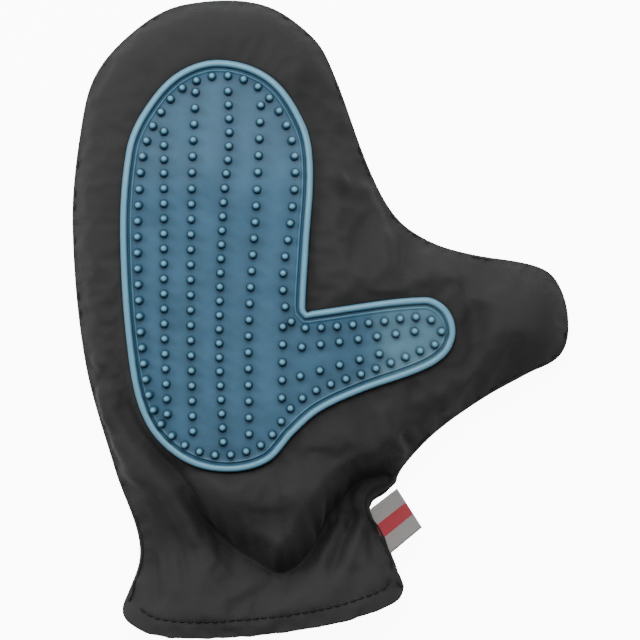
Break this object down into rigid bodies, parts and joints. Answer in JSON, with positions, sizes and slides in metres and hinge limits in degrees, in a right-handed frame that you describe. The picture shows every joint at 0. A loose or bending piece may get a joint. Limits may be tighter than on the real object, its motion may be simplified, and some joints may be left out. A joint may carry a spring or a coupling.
{
  "type": "grooming glove",
  "caption": "Right-hand pet grooming mitt: sewn fabric shell with a thumb, open elasticated cuff and a moulded rubber nub pad on the palm.",
  "frame": {"origin": "on the plane that the mitt rests on, under the middle of the palm", "axes": "+Z out of the palm, +Y towards the fingertips, +X towards the thumb; the mitt lies on its back"},
  "size_m": [0.1866, 0.24, 0.0349],
  "materials": {
    "shell_fabric": "soft charcoal foam-backed polyester, matt with a faint sheen",
    "pad_rubber": "teal-blue thermoplastic rubber, satin",
    "elastic_tape": "black ribbed elastic tape",
    "sewing_thread": "black polyester thread",
    "label_ribbon": "grey satin woven ribbon with a plain red stripe"
  },
  "bodies": {
    "hand": {"palm_panel": "shell_fabric", "back_panel": "shell_fabric", "rubber_pad": "pad_rubber", "wrist_elastic_palm": "elastic_tape", "wrist_elastic_back": "elastic_tape", "elastic_thread_palm": "sewing_thread", "elastic_thread_back": "sewing_thread", "hem_thread_palm": "sewing_thread", "hem_thread_back": "sewing_thread", "seam_thread_little_finger": "sewing_thread", "seam_thread_web": "sewing_thread", "seam_thread_heel": "sewing_thread"},
    "fingers": {"palm_panel_fingers": "shell_fabric", "back_panel_fingers": "shell_fabric", "rubber_pad_fingers": "pad_rubber", "seam_thread_fingers": "sewing_thread"},
    "thumb": {"palm_panel_thumb": "shell_fabric", "back_panel_thumb": "shell_fabric", "seam_thread_thumb": "sewing_thread"},
    "label": {"side_label": "label_ribbon"}
  },
  "joints": [
    {"name": "finger_bend", "type": "hinge", "parent": "hand", "child": "fingers", "pos_m": [0, 0.0634, 0.033], "axis": [1, 0, 0], "range_deg": [0, 45], "stiffness_Nm_per_rad": 0.02},
    {"name": "thumb_bend", "type": "hinge", "parent": "hand", "child": "thumb", "pos_m": [0.087, 0.009, 0.0275], "axis": [0, -1, 0], "range_deg": [0, 45], "stiffness_Nm_per_rad": 0.01},
    {"name": "label_flap", "type": "hinge", "parent": "hand", "child": "label", "pos_m": [0.0533, -0.0609, 0.011], "axis": [0.431, -0.9023, 0], "range_deg": [-60, 75], "stiffness_Nm_per_rad": 0.001}
  ]
}
